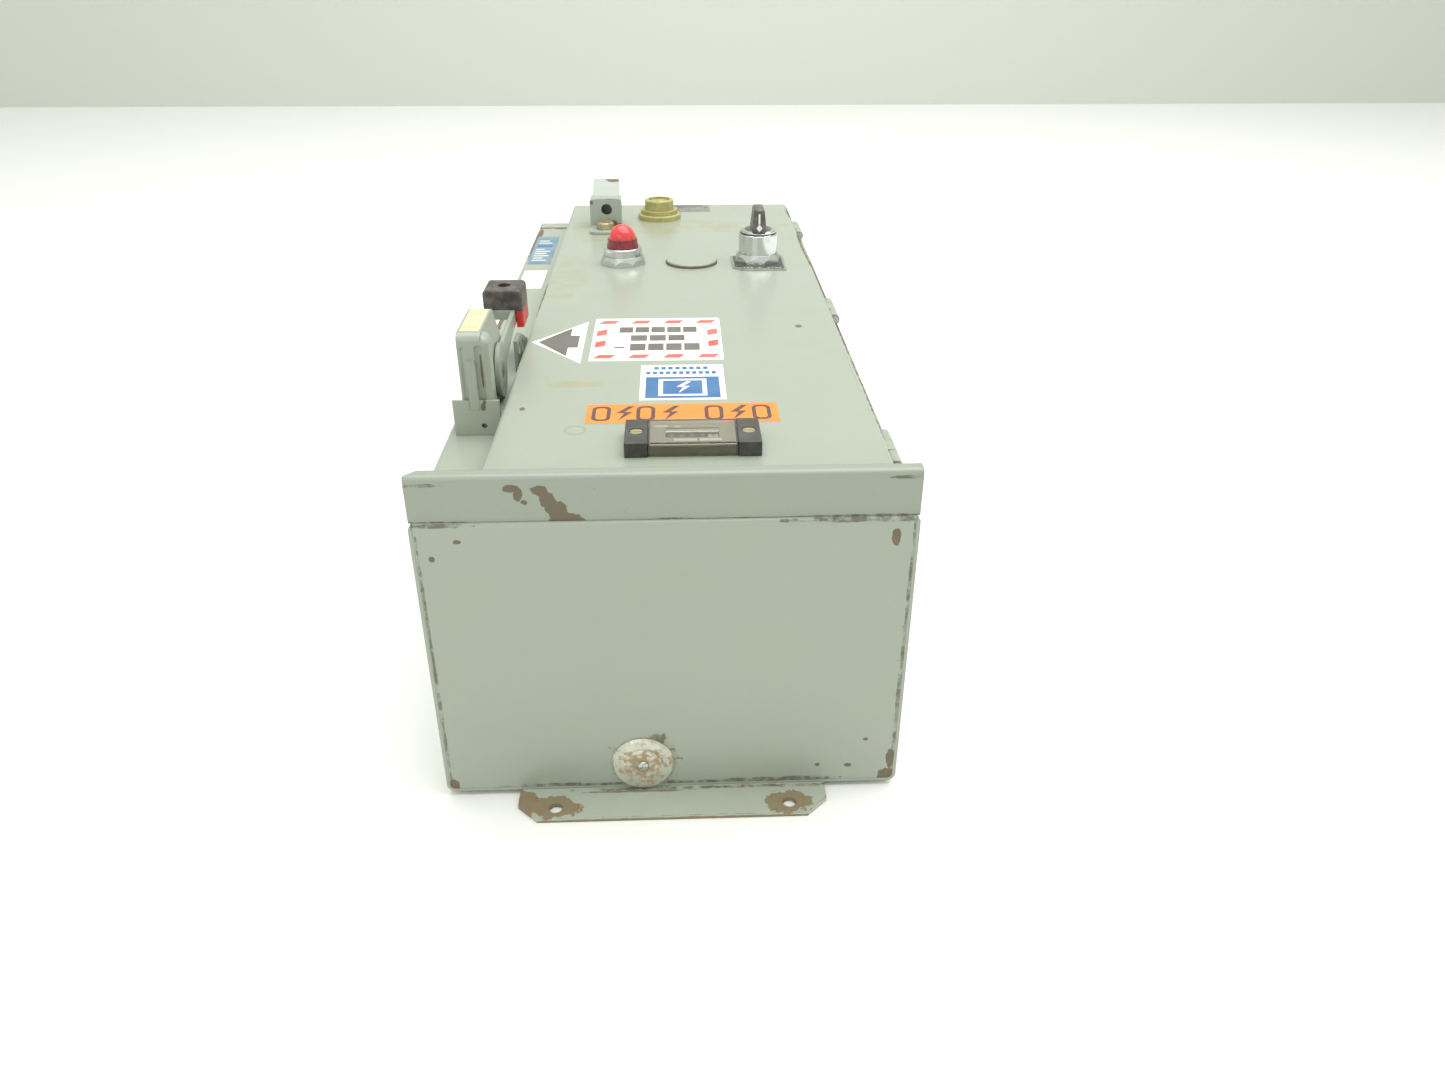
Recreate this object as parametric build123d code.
# Wall-mounted combination starter enclosure: a bent sheet-steel box with a hinged door, a flange
# handle that drives a three-pole fused switch, a contactor with its overload relay, and door operators.
#
# Frame, in millimetres: +Z points out of the wall, +Y points down the wall (the box lies on its
# back with its top end at -Y), +X points to the hinge side of the door. The origin is the centre
# of the wall-mounting holes on the wall plane.
import os
from math import cos, radians, sin, tan

from build123d import *

# Box
BOX_WIDTH = 264.0
BOX_LENGTH = 666.0
RIM_Z = 180.0            # rim flange above the wall
SHEET = 1.9              # 14 gauge steel
BEND = 5.0               # outer bend radius of the back corners
RIM_BEND = 3.0           # outer bend radius at the rim
HANDLE_FLANGE = 42.0     # width of the rim flange that carries the handle
HINGE_FLANGE = 18.1      # width of the rim flange on the hinge side
END_FLANGE = 21.0        # depth of the rim flanges at the two ends
LIP_RISE = 8.7           # upturned edge that the door gasket meets
FIT = 0.3                # clearance between pieces that pass each other
RUNNING = 0.05           # radial clearance of a shaft in its bore

# Mounting feet
FOOT_SHEET = 3.0
FOOT_WIDTH = 179.0
FOOT_REACH = 25.0        # how far a foot stands out past the end wall
FOOT_LAP = 30.0          # how far it runs under the back wall
FOOT_HOLE_SPACING = 135.0
FOOT_HOLE_OUT = 16.5     # hole centre past the end wall
FOOT_HOLE_R = 4.0
FOOT_CHAMFER = 12.0

# Door
DOOR_RISE = 18.0         # door face above the rim
DOOR_GAP = 0.6           # door edge above the rim
DOOR_LEFT_INSET = 35.0   # box side to door edge, handle side
DOOR_RIGHT_INSET = 10.0  # box side to door edge, hinge side
DOOR_TOP_INSET = 11.5    # box end to door edge, hood end
DOOR_BOTTOM_INSET = 1.0
DOOR_BEND = 3.0
DOOR_SWING = 120.0

# Hood
HOOD_RISE = 26.0
HOOD_SETBACK = 2.5
HOOD_RETURN = 6.0
HOOD_CHAMFER = 6.0

# Hinges
HINGE_INSET = 69.0       # box end to the middle of the end hinges
HINGE_LENGTH = 44.0
HINGE_LEAF = 1.6
PIN_R = 2.0
KNUCKLE_R = 4.0
HINGE_X_OUT = 5.0        # pin axis beyond the door's edge
HINGE_Z_UP = 6.5         # pin axis above the rim

# Conduit holes and the plug in the top one
CONDUIT_R = 14.2         # three-quarter inch trade size
CONDUIT_X, CONDUIT_Z = -17.0, 21.2
PLUG_R = 18.2

# Back pan
PAN_SHEET = 2.5
PAN_STANDOFF = 8.0
PAN_SIDE_INSET = 28.0    # box side to the pan's edge
PAN_END_INSET = 33.0     # box end to the pan's edge
STUD_R = 3.0
STUD_INSET = 8.0         # pan corner to stud, across
STUD_END_INSET = 12.0

# Flange handle
BASE_SHEET = 2.5
BASE_EDGE = 5.5          # box side to the base plate
BASE_WIDTH = 27.7
BASE_TOP_INSET = 114.5   # box end to the base plate's front wall
BASE_LENGTH = 156.5
BASE_RISE = 22.0         # front wall above the rim
PIVOT_INSET = 53.5       # front wall to the lever's pivot
PIVOT_RISE = 22.0        # pivot above the rim
PIVOT_R = 5.0
LEVER_SWING = 100.0
ARM_THICK = 2.8
HUB_R = 17.0
HOUSING_INSET = 5.9      # base plate's edge to the housing
HOUSING_WIDTH = 14.0
HOUSING_WALL = 2.3
HOUSING_RISE = 62.0      # housing top above the rim
LOBE_WIDTH = 18.3
LOBE_DEPTH = 15.0
RIB_WIDTH = 6.0
SIDE_GAP = 0.5           # between the housing and each lever arm
GRIP_REACH = 71.0        # pivot to the near face of the grip
GRIP_LENGTH = 28.0
GRIP_WIDTH = 26.6
GRIP_RISE = 38.5         # underside of the grip above the rim
GRIP_HEIGHT = 13.5
GRIP_LEG_WIDTH = 4.8
GRIP_LEG_DROP = 12.0
GRIP_HOLE_R = 4.5
GRIP_DOOR_GAP = 1.0      # between the grip and the door's edge
EAR_SHEET = 2.5
EAR_HOLE_R = 4.3

# Linkage from the lever to the switch: two equal cranks and a straight link
CRANK = 50.0
CRANK_THICK = 4.0
LINK_THICK = 3.0
LINK_PIN_R = 3.0
LINK_END_R = 6.0
ROTOR_AHEAD = 40.0       # switch shaft ahead of the lever's pivot
ROTOR_Z = 94.0
ROTOR_R = 7.0

# Fused switch
POLE_PITCH = 35.0
POLE_MIDDLE_X = -15.0
SWITCH_WIDTH = 134.0
SWITCH_AHEAD = 87.0      # base ahead of the switch shaft
SWITCH_BEHIND = 65.0
SWITCH_BASE_RISE = 26.6  # base top above the pan
BARRIER = 3.0
BLADE_THICK = 3.0
BLADE_REACH = 66.0
BLADE_WIDTH = 14.0
BLADE_CLOSED = 8.0       # closed blade, degrees below level towards the line jaws
JAW_SHEET = 1.6
FUSE_R, FUSE_LENGTH = 10.3, 127.0
FERRULE_LENGTH = 16.0
FUSE_GAP = 6.0           # switch base to fuse block
FUSE_END_ROOM = 12.5     # fuse block past each end of a fuse
FUSE_RISE = 46.6         # fuse axis above the pan

# Contactor, overload relay and control transformer
CONTACTOR_AHEAD, CONTACTOR_BEHIND = 22.0, 15.0  # free length each side of it, shared in this ratio
CONTACTOR_WIDTH, CONTACTOR_LENGTH = 106.0, 110.0
CONTACTOR_RISE = 88.6    # above the pan
CONTACTOR_BASE_RISE = 44.6
ARMATURE_TRAVEL = 5.0
RELAY_INSET = 41.0       # bottom end of the box to the relay
RELAY_WIDTH, RELAY_LENGTH = 90.0, 127.0
RELAY_RISE = 76.6
RESET_PIN_R = 5.0
RESET_PIN_PROUD = 18.0
TRANSFORMER_WIDTH, TRANSFORMER_LENGTH = 54.0, 82.0
TRANSFORMER_GAP = 10.0   # contactor's side to the transformer
TRANSFORMER_RISE = 72.6

# Door operators
OPERATOR_INSET = 228.5   # bottom end of the box to the row of operators
PILOT_PLACE, PLUG_PLACE, SELECTOR_PLACE = 0.2565, 0.541, 0.818  # shares of the opening's width
OPERATOR_REAR = 40.0     # side of the housing behind the door
OPERATOR_R = 15.0        # neck of a heavy-duty 30 mm operator
OPERATOR_HOLE_R = 15.3
RING_NUT_R = 18.1
RING_NUT_HEIGHT = 7.6
LEGEND_SIZE = 44.5
LEGEND_SHEET = 1.2
KNOB_TOP = 46.4          # above the door face
KNOB_WIDTH = 11.5
KNOB_SWING = 45.0
BLANK_R = 21.5

# Reset operator
RESET_OFFSET = 6.6       # middle pole to the reset pin, across
RESET_INSET = 20.0       # end of the relay to the reset pin
RESET_TRAVEL = 4.0
RESET_CAP_R = 13.9
RESET_FLANGE_R = 20.7
RESET_SHOULDER_R = 17.8

# Latch
LATCH_EDGE = 38.5        # door edge to the latch screw
LATCH_INSET = 114.0      # bottom end of the box to the latch screw
LATCH_FACE_BACK = 10.0   # latch screw to the bracket's front wall
LATCH_WIDTH = 29.0
LATCH_RISE = 27.0
LATCH_SHEET = 2.4
LATCH_SCREW_R = 8.0
LATCH_NECK_R = 5.0
PAWL_LENGTH = 46.0

# Hour meter
METER_WIDTH, METER_LENGTH = 74.2, 33.5
METER_OFFSET = 2.8       # opening's middle to the meter's middle, across
METER_INSET = 39.3       # top end of the box to the meter
METER_RISE = 8.5
METER_CAP = 12.5
METER_WALL = 1.6
WHEEL_R = 6.4
WHEEL_WIDTH = 5.4
WHEEL_COUNT = 5

# Worked out from the sizes above
HALF_W, HALF_L = BOX_WIDTH / 2, BOX_LENGTH / 2
BACK_Z = FOOT_SHEET
FLOOR_Z = BACK_Z + SHEET
PAN_Z = FLOOR_Z + PAN_STANDOFF
DECK_Z = PAN_Z + PAN_SHEET
DOOR_Z = RIM_Z + DOOR_RISE
DOOR_UNDER = DOOR_Z - SHEET
DOOR_X = (-HALF_W + DOOR_LEFT_INSET, HALF_W - DOOR_RIGHT_INSET)
DOOR_Y = (-HALF_L + DOOR_TOP_INSET, HALF_L - DOOR_BOTTOM_INSET)
OPENING_X = (-HALF_W + HANDLE_FLANGE, HALF_W - HINGE_FLANGE)
OPENING_Y = (-HALF_L + END_FLANGE, HALF_L - END_FLANGE)
HINGE_YS = (-HALF_L + HINGE_INSET, 0.0, HALF_L - HINGE_INSET)
HINGE_X = DOOR_X[1] + HINGE_X_OUT
HINGE_Z = RIM_Z + HINGE_Z_UP
PAN_X = (-HALF_W + PAN_SIDE_INSET, HALF_W - PAN_SIDE_INSET)
PAN_Y = (-HALF_L + PAN_END_INSET, HALF_L - PAN_END_INSET)

BASE_X = (-HALF_W + BASE_EDGE, -HALF_W + BASE_EDGE + BASE_WIDTH)
BASE_Y = (-HALF_L + BASE_TOP_INSET, -HALF_L + BASE_TOP_INSET + BASE_LENGTH)
BASE_Z = RIM_Z + BASE_SHEET
PIVOT_Y, PIVOT_Z = BASE_Y[0] + PIVOT_INSET, RIM_Z + PIVOT_RISE
HOUSING_X = (BASE_X[0] + HOUSING_INSET, BASE_X[0] + HOUSING_INSET + HOUSING_WIDTH)
HOUSING_TOP = RIM_Z + HOUSING_RISE
LOBE_X = (HOUSING_X[0], HOUSING_X[0] + LOBE_WIDTH)
RIB_X = (HOUSING_X[0] + 4.2, HOUSING_X[0] + 4.2 + RIB_WIDTH)
GRIP_X = (DOOR_X[0] - GRIP_DOOR_GAP - GRIP_WIDTH, DOOR_X[0] - GRIP_DOOR_GAP)
GRIP_Y = (PIVOT_Y + GRIP_REACH, PIVOT_Y + GRIP_REACH + GRIP_LENGTH)
GRIP_Z = (RIM_Z + GRIP_RISE, RIM_Z + GRIP_RISE + GRIP_HEIGHT)
GRIP_LEG_Z = GRIP_Z[0] - GRIP_LEG_DROP
EAR_X = (GRIP_X[1] - GRIP_LEG_WIDTH, GRIP_X[1] - GRIP_LEG_WIDTH + EAR_SHEET)

CRANK_X = (HOUSING_X[0] + 5.1, HOUSING_X[0] + 5.1 + CRANK_THICK)
LINK_X = (CRANK_X[1] + SIDE_GAP, CRANK_X[1] + SIDE_GAP + LINK_THICK)
ARM_X = (LINK_X[1] + SIDE_GAP, LINK_X[1] + SIDE_GAP + CRANK_THICK)
ROTOR_Y = PIVOT_Y - ROTOR_AHEAD
START = LEVER_SWING / 2
PIN_DY, PIN_DZ = -CRANK * sin(radians(START)), -CRANK * cos(radians(START))
SLOT_HALF = (PIVOT_RISE + SHEET) * tan(radians(START)) + 9.5

POLE_XS = (POLE_MIDDLE_X - POLE_PITCH, POLE_MIDDLE_X, POLE_MIDDLE_X + POLE_PITCH)
BARRIER_XS = (POLE_MIDDLE_X - POLE_PITCH / 2, POLE_MIDDLE_X + POLE_PITCH / 2)
SWITCH_X = (POLE_MIDDLE_X - SWITCH_WIDTH / 2, POLE_MIDDLE_X + SWITCH_WIDTH / 2)
SWITCH_Y = (ROTOR_Y - SWITCH_AHEAD, ROTOR_Y + SWITCH_BEHIND)
SWITCH_BASE_TOP = DECK_Z + SWITCH_BASE_RISE
FUSE_BLOCK_Y = (SWITCH_Y[1] + FUSE_GAP, SWITCH_Y[1] + FUSE_GAP + FUSE_LENGTH + 2 * FUSE_END_ROOM)
FUSE_BLOCK_TOP = DECK_Z + FUSE_RISE - FUSE_R - 11.7
FUSE_Z = DECK_Z + FUSE_RISE
FUSE_Y = (FUSE_BLOCK_Y[0] + FUSE_BLOCK_Y[1]) / 2
CONTACTOR_X = (POLE_MIDDLE_X - CONTACTOR_WIDTH / 2, POLE_MIDDLE_X + CONTACTOR_WIDTH / 2)
RELAY_Y = (HALF_L - RELAY_INSET - RELAY_LENGTH, HALF_L - RELAY_INSET)
CONTACTOR_ROOM = RELAY_Y[0] - FUSE_BLOCK_Y[1] - CONTACTOR_LENGTH
CONTACTOR_START = FUSE_BLOCK_Y[1] + CONTACTOR_ROOM * CONTACTOR_AHEAD / (CONTACTOR_AHEAD + CONTACTOR_BEHIND)
CONTACTOR_Y = (CONTACTOR_START, CONTACTOR_START + CONTACTOR_LENGTH)
CONTACTOR_SPLIT = DECK_Z + CONTACTOR_BASE_RISE
CONTACTOR_TOP = DECK_Z + CONTACTOR_RISE
RELAY_X = (POLE_MIDDLE_X - RELAY_WIDTH / 2, POLE_MIDDLE_X + RELAY_WIDTH / 2)
RELAY_TOP = DECK_Z + RELAY_RISE
TRANSFORMER_X = (CONTACTOR_X[1] + TRANSFORMER_GAP, CONTACTOR_X[1] + TRANSFORMER_GAP + TRANSFORMER_WIDTH)
TRANSFORMER_Y = (CONTACTOR_Y[0] - 10.0, CONTACTOR_Y[0] - 10.0 + TRANSFORMER_LENGTH)
TRANSFORMER_TOP = DECK_Z + TRANSFORMER_RISE

OPERATOR_Y = HALF_L - OPERATOR_INSET
PILOT_X, PLUG_X, SELECTOR_X = (OPENING_X[0] + (OPENING_X[1] - OPENING_X[0]) * share
                               for share in (PILOT_PLACE, PLUG_PLACE, SELECTOR_PLACE))
RESET_X, RESET_Y = POLE_MIDDLE_X + RESET_OFFSET, RELAY_Y[1] - RESET_INSET
LATCH_X, LATCH_Y = DOOR_X[0] + LATCH_EDGE, HALF_L - LATCH_INSET
LATCH_FACE_Y = LATCH_Y + LATCH_FACE_BACK
METER_MIDDLE = (OPENING_X[0] + OPENING_X[1]) / 2 + METER_OFFSET
METER_X = (METER_MIDDLE - METER_WIDTH / 2, METER_MIDDLE + METER_WIDTH / 2)
METER_Y = (-HALF_L + METER_INSET, -HALF_L + METER_INSET + METER_LENGTH)


def block(xs, ys, zs):
    """A box between two limits along each axis."""
    sizes = [b - a for a, b in (xs, ys, zs)]
    return Pos((xs[0] + xs[1]) / 2, (ys[0] + ys[1]) / 2, (zs[0] + zs[1]) / 2) * Box(*sizes)


def span(centre, size):
    return (centre - size / 2, centre + size / 2)


def rod(axis, at, radius, start, end):
    """A cylinder along an axis; at gives its two other coordinates in X, Y, Z order."""
    body = Cylinder(radius, end - start)
    middle = (start + end) / 2
    if axis == "X":
        return Pos(middle, at[0], at[1]) * Rot(0, 90, 0) * body
    if axis == "Y":
        return Pos(at[0], middle, at[1]) * Rot(90, 0, 0) * body
    return Pos(at[0], at[1], middle) * body


def ring(axis, at, outer, inner, start, end):
    return rod(axis, at, outer, start, end) - rod(axis, at, inner, start - 1, end + 1)


def plate_yz(points, xs, corner=0.0):
    """A flat plate across X with its outline given in Y and Z."""
    outline = Polygon(*points, align=None)
    if corner:
        outline = fillet(outline.vertices(), corner)
    face = Plane.YZ.offset(xs[0]) * outline
    return extrude(face, xs[1] - xs[0], dir=(1, 0, 0))


def bar_yz(start, end, radius, xs):
    """A bar with round ends across X, between two points in Y and Z."""
    run = Vector(end[0] - start[0], end[1] - start[1])
    side = Vector(-run.Y, run.X).normalized() * radius
    corners = [(p[0] + s * side.X, p[1] + s * side.Y) for p, s in
               ((start, 1), (start, -1), (end, -1), (end, 1))]
    bar = plate_yz(corners, xs)
    return bar + rod("X", start, radius, *xs) + rod("X", end, radius, *xs)


def hinge_parts(centre_y):
    """Barrel limits of one hinge: two on the box and one between them on the door."""
    third = HINGE_LENGTH / 3
    low = centre_y - HINGE_LENGTH / 2
    return ((low, low + third), (low + third, low + 2 * third), (low + 2 * third, low + 3 * third))


# ---- box -------------------------------------------------------------------------------------

def enclosure_shell():
    lip = RIM_Z + LIP_RISE
    left, right = OPENING_X
    points = [
        (left, RIM_Z), (-HALF_W, RIM_Z), (-HALF_W, BACK_Z), (HALF_W, BACK_Z), (HALF_W, RIM_Z),
        (right, RIM_Z), (right, lip), (right - SHEET, lip), (right - SHEET, RIM_Z - SHEET),
        (HALF_W - SHEET, RIM_Z - SHEET), (HALF_W - SHEET, FLOOR_Z), (-HALF_W + SHEET, FLOOR_Z),
        (-HALF_W + SHEET, RIM_Z - SHEET), (left + SHEET, RIM_Z - SHEET), (left + SHEET, lip), (left, lip),
    ]
    outline = Polygon(*points, align=None)

    def corners(x, z):
        return [v for v in outline.vertices() if abs(abs(v.X) - x) < 0.01 and abs(v.Y - z) < 0.01]

    for x, z, radius in ((HALF_W, BACK_Z, BEND), (HALF_W - SHEET, FLOOR_Z, BEND - SHEET),
                         (HALF_W, RIM_Z, RIM_BEND), (HALF_W - SHEET, RIM_Z - SHEET, RIM_BEND - SHEET)):
        outline = fillet(corners(x, z), radius)
    face = Plane.XZ.offset(HALF_L) * outline
    shell = extrude(face, BOX_LENGTH, dir=(0, 1, 0))
    for end in (-1, 1):
        ys = sorted((end * (HALF_L + 1), end * (HALF_L - END_FLANGE)))
        shell -= block((-HALF_W + SHEET, HALF_W - SHEET), ys, (RIM_Z - RIM_BEND, lip + 1))
        shell -= block((-HALF_W - 1, HALF_W + 1), ys, (RIM_Z, lip + 1))
    shell -= handle_slot(RIM_Z - SHEET - 1, RIM_Z + 1)
    return shell


def handle_slot(low, high):
    """The slot that the drive crank swings in."""
    middle = (CRANK_X[0] + CRANK_X[1]) / 2
    return block(span(middle, 7.0), span(PIVOT_Y, 2 * SLOT_HALF), (low, high))


def end_wall(end):
    """One end plate with its rim flange; end is -1 at the hood and 1 at the bottom."""
    inside = HALF_L - SHEET
    flange = HALF_L - END_FLANGE
    lip = RIM_Z + LIP_RISE
    outline = Polygon(
        (HALF_L, FLOOR_Z), (HALF_L, RIM_Z), (flange, RIM_Z), (flange, RIM_Z - SHEET),
        (inside, RIM_Z - SHEET), (inside, FLOOR_Z), align=None)
    outer = [v for v in outline.vertices() if v.X > HALF_L - 0.01 and v.Y > RIM_Z - 0.01]
    outline = fillet(outer, RIM_BEND)
    inner = [v for v in outline.vertices() if abs(v.X - inside) < 0.01 and v.Y > RIM_Z - SHEET - 0.01]
    outline = fillet(inner, RIM_BEND - SHEET)
    face = Plane.YZ.offset(-HALF_W + SHEET) * outline
    wall = extrude(face, BOX_WIDTH - 2 * SHEET, dir=(1, 0, 0))
    wall += block((OPENING_X[0] + SHEET, OPENING_X[1] - SHEET), (flange - SHEET, flange),
                  (RIM_Z - SHEET, lip))
    wall -= corner_relief(-1) + corner_relief(1)
    wall -= rod("Y", (CONDUIT_X, CONDUIT_Z), CONDUIT_R, inside - 1, HALF_L + 1)
    return mirror(wall, Plane.XZ) if end < 0 else wall


def corner_relief(side):
    """What the shell's rounded back corner takes from an end plate."""
    inner = BEND - SHEET
    corner = side * (HALF_W - SHEET)
    xs = sorted((corner, corner - side * inner))
    ys = (HALF_L - SHEET - 1, HALF_L + 1)
    square = block(xs, ys, (FLOOR_Z, FLOOR_Z + inner))
    return square - rod("Y", (corner - side * inner, FLOOR_Z + inner), inner, *ys)


def drip_hood():
    front = -HALF_L + HOOD_SETBACK
    top = RIM_Z + HOOD_RISE
    back = front + SHEET + HOOD_RETURN
    outline = Polygon(
        (front, RIM_Z), (front, top), (back, top), (back, top - SHEET), (front + SHEET, top - SHEET),
        (front + SHEET, RIM_Z + SHEET), (front + SHEET + 4, RIM_Z + SHEET), (front + SHEET + 4, RIM_Z),
        align=None)
    outer = [v for v in outline.vertices() if abs(v.X - front) < 0.01 and v.Y > top - 0.01]
    outline = fillet(outer, RIM_BEND)
    inner = [v for v in outline.vertices()
             if abs(v.X - front - SHEET) < 0.01 and abs(v.Y - top + SHEET) < 0.01]
    outline = fillet(inner, RIM_BEND - SHEET)
    face = Plane.YZ.offset(-HALF_W) * outline
    hood = extrude(face, BOX_WIDTH, dir=(1, 0, 0))
    clip = Polygon((-HALF_W - 1, back + 1), (-HALF_W - 1, back - HOOD_CHAMFER),
                   (-HALF_W, back - HOOD_CHAMFER), (-HALF_W + HOOD_CHAMFER + 1, back + 1), align=None)
    hood -= extrude(Plane.XY.offset(RIM_Z + SHEET + 1) * clip, HOOD_RISE)
    return hood


def mounting_feet():
    outer = HALF_L + FOOT_REACH
    inner = HALF_L - FOOT_LAP
    half = FOOT_WIDTH / 2
    outline = Polygon((-half, inner), (half, inner), (half, outer - FOOT_CHAMFER),
                      (half - FOOT_CHAMFER, outer), (-half + FOOT_CHAMFER, outer),
                      (-half, outer - FOOT_CHAMFER), align=None)
    foot = extrude(outline, FOOT_SHEET)
    for x in (-FOOT_HOLE_SPACING / 2, FOOT_HOLE_SPACING / 2):
        foot -= rod("Z", (x, HALF_L + FOOT_HOLE_OUT), FOOT_HOLE_R, -1, FOOT_SHEET + 1)
    return [foot, mirror(foot, Plane.XZ)]


def conduit_plug_disc():
    """Domed cover disc with a rolled edge, outside the top end wall."""
    at = (CONDUIT_X, CONDUIT_Z)
    face = -HALF_L
    disc = rod("Y", at, PLUG_R, face - 2.2, face)
    disc = chamfer(disc.edges().group_by(Axis.Y)[0], 1.2)
    disc += rod("Y", at, PLUG_R * 0.62, face - 3.0, face - 2.2)
    return disc - rod("Y", at, 2.6, face - 4, face + 1)


def conduit_plug_screw():
    at = (CONDUIT_X, CONDUIT_Z)
    face = -HALF_L
    head = rod("Y", at, 4.6, face - 5.2, face - 3.0)
    head = fillet(head.edges().group_by(Axis.Y)[0], 1.0)
    screw = head + rod("Y", at, 2.5, face - 3.0, face + 12)
    return screw - block(span(at[0], 1.2), (face - 6, face - 4.2), span(at[1], 12))


def conduit_plug_bar():
    at = (CONDUIT_X, CONDUIT_Z)
    inside = -HALF_L + SHEET
    bar = block(span(at[0], 2 * CONDUIT_R + 14), (inside, inside + 2.0), span(at[1], 12))
    return bar - rod("Y", at, 2.5, inside - 1, inside + 3)


def box_hinge_leaves():
    leaves = []
    for centre in HINGE_YS:
        first, _, last = hinge_parts(centre)
        leaf = block((DOOR_X[1] + 1.0, HALF_W - RIM_BEND), (first[0], last[1]), (RIM_Z, RIM_Z + HINGE_LEAF))
        for ys in (first, last):
            leaf += ring("Y", (HINGE_X, HINGE_Z), KNUCKLE_R, PIN_R, ys[0], ys[1])
            leaf += block(span(HINGE_X, 3.0), ys, (RIM_Z, HINGE_Z - PIN_R - 0.6))
        leaves.append(leaf)
    return leaves


def hinge_pins():
    at = (HINGE_X, HINGE_Z)
    pins = []
    for centre in HINGE_YS:
        low, high = centre - HINGE_LENGTH / 2, centre + HINGE_LENGTH / 2
        pin = rod("Y", at, PIN_R, low - 1.5, high + 1.5)
        pin += rod("Y", at, PIN_R + 1, low - 1.5, low) + rod("Y", at, PIN_R + 1, high, high + 1.5)
        pins.append(pin)
    return pins


def back_pan():
    pan = block(PAN_X, PAN_Y, (PAN_Z, DECK_Z))
    for at in stud_places():
        pan -= rod("Z", at, STUD_R, PAN_Z - 1, DECK_Z + 1)
    return pan


def stud_places():
    return [(x, y) for x in (PAN_X[0] + STUD_INSET, PAN_X[1] - STUD_INSET)
            for y in (PAN_Y[0] + STUD_END_INSET, PAN_Y[1] - STUD_END_INSET)]


def pan_studs():
    """Welded studs with their shoulders and nuts, one set at each corner of the pan."""
    studs = []
    for at in stud_places():
        nut = Pos(at[0], at[1], DECK_Z) * extrude(RegularPolygon(5.8, 6), 5.0)
        stud = rod("Z", at, STUD_R, FLOOR_Z, DECK_Z + 9) + rod("Z", at, 6, FLOOR_Z, PAN_Z)
        studs.append(stud + nut)
    return studs


# ---- flange handle ---------------------------------------------------------------------------

def handle_base():
    """Bent base plate with its front wall and the padlocking ear."""
    base = block(BASE_X, BASE_Y, (RIM_Z, BASE_Z))
    base += block(BASE_X, (BASE_Y[0], BASE_Y[0] + SHEET), (BASE_Z, RIM_Z + BASE_RISE))
    base -= block(RIB_X, (BASE_Y[0] - 1, BASE_Y[0] + SHEET), (RIM_Z + BASE_RISE - 6, RIM_Z + BASE_RISE + 1))
    base -= handle_slot(RIM_Z - 1, BASE_Z + 1)
    base -= rod("Y", (RIB_X[1] + 1.5, RIM_Z + 6), 1.6, BASE_Y[0] - 1, BASE_Y[0] + SHEET)
    top = GRIP_LEG_Z - 2.0
    start, end = GRIP_Y[0] - 24.0, GRIP_Y[1] - 1.0
    ear = plate_yz([(start, BASE_Z), (start, top), (start + 18, top), (end, BASE_Z + 7.5), (end, BASE_Z)],
                   EAR_X)
    for back, drop in ((10.0, 7.5), (26.0, 11.5)):
        ear -= rod("X", (start + back, top - drop), EAR_HOLE_R, EAR_X[0] - 1, EAR_X[1] + 1)
    return base + ear


def handle_housing():
    """Hollow casting between the two lever arms, with two rounded lobes at the front."""
    front = BASE_Y[0] + SHEET
    back = PIVOT_Y + 25.0
    profile = [(front, BASE_Z), (front, HOUSING_TOP), (PIVOT_Y - 1, HOUSING_TOP), (back, PIVOT_Z + 12),
               (back, BASE_Z)]
    body = plate_yz(profile, HOUSING_X)
    body = fillet(body.edges().filter_by(Axis.X).group_by(Axis.Z)[-1], 5.0)
    lobe = block(LOBE_X, (front, front + LOBE_DEPTH), (BASE_Z, HOUSING_TOP - 1.5))
    lobe = fillet(lobe.edges().filter_by(Axis.Z), 3.2)
    lobe = fillet(lobe.edges().filter_by(Axis.X).group_by(Axis.Z)[-1], 5.0)
    body += lobe
    for x, proud, radius in ((RIB_X[0] - 1.2, 2.0, 2.6), (RIB_X[1] + 1.9, 1.3, 2.7)):
        channel = rod("Z", (x, front - proud), radius, BASE_Z, HOUSING_TOP - 9)
        body -= channel + Pos(x, front - proud, HOUSING_TOP - 9) * Sphere(radius)
    body += block(RIB_X, (front - SHEET, front + 4), (RIM_Z + BASE_RISE - 6, HOUSING_TOP - 16))
    cavity = [(front + 6, BASE_Z - 1), (front + 6, HOUSING_TOP - 8), (PIVOT_Y - 3, HOUSING_TOP - 4),
              (back - 3, PIVOT_Z + 10), (back - 3, PIVOT_Z - 4), (back + 1, PIVOT_Z - 4),
              (back + 1, BASE_Z - 1)]
    body -= plate_yz(cavity, (HOUSING_X[0] + HOUSING_WALL, HOUSING_X[1] - HOUSING_WALL))
    body -= rod("X", (PIVOT_Y, PIVOT_Z), PIVOT_R + RUNNING, HOUSING_X[0] - 1, HOUSING_X[1] + 1)
    return body


def arm_spans():
    left = (HOUSING_X[0] - SIDE_GAP - ARM_THICK, HOUSING_X[0] - SIDE_GAP)
    right = (HOUSING_X[1] + SIDE_GAP, HOUSING_X[1] + SIDE_GAP + ARM_THICK)
    return left, right


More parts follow.
